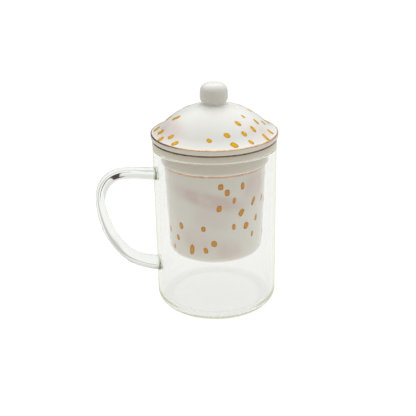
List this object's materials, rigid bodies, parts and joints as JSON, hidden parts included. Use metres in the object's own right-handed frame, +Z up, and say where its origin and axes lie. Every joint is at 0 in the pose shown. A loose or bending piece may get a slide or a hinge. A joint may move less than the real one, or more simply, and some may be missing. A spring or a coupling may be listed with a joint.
{
  "type": "glass tea infuser mug",
  "caption": "Straight clear glass mug with an ear handle, a lift-out porcelain infuser basket hung on its rim and a loose domed lid with a round knob.",
  "frame": {"origin": "on the mug's axis, in the plane of its flat base", "axes": "+Z up along the mug's axis; the handle points along -X"},
  "size_m": [0.12, 0.0818, 0.1501],
  "materials": {
    "clear_glass": "clear polished",
    "porcelain": "white gloss glaze with a faint blush",
    "gold_lustre": "fired-on gold lustre"
  },
  "bodies": {
    "mug": {"glass_body": "clear_glass", "glass_handle": "clear_glass"},
    "infuser": {"infuser_basket": "porcelain", "infuser_rim_gold_band": "gold_lustre", "infuser_neck_gold_band": "gold_lustre"},
    "lid": {"lid_dome": "porcelain", "lid_knob": "porcelain", "lid_gold_band": "gold_lustre"}
  },
  "joints": [
    {"name": "infuser_lift", "type": "slide", "parent": "mug", "child": "infuser", "axis": [0, 0, 1], "range_m": [0, 0.09]},
    {"name": "lid_lift", "type": "slide", "parent": "infuser", "child": "lid", "axis": [0, 0, 1], "range_m": [0, 0.05]}
  ]
}
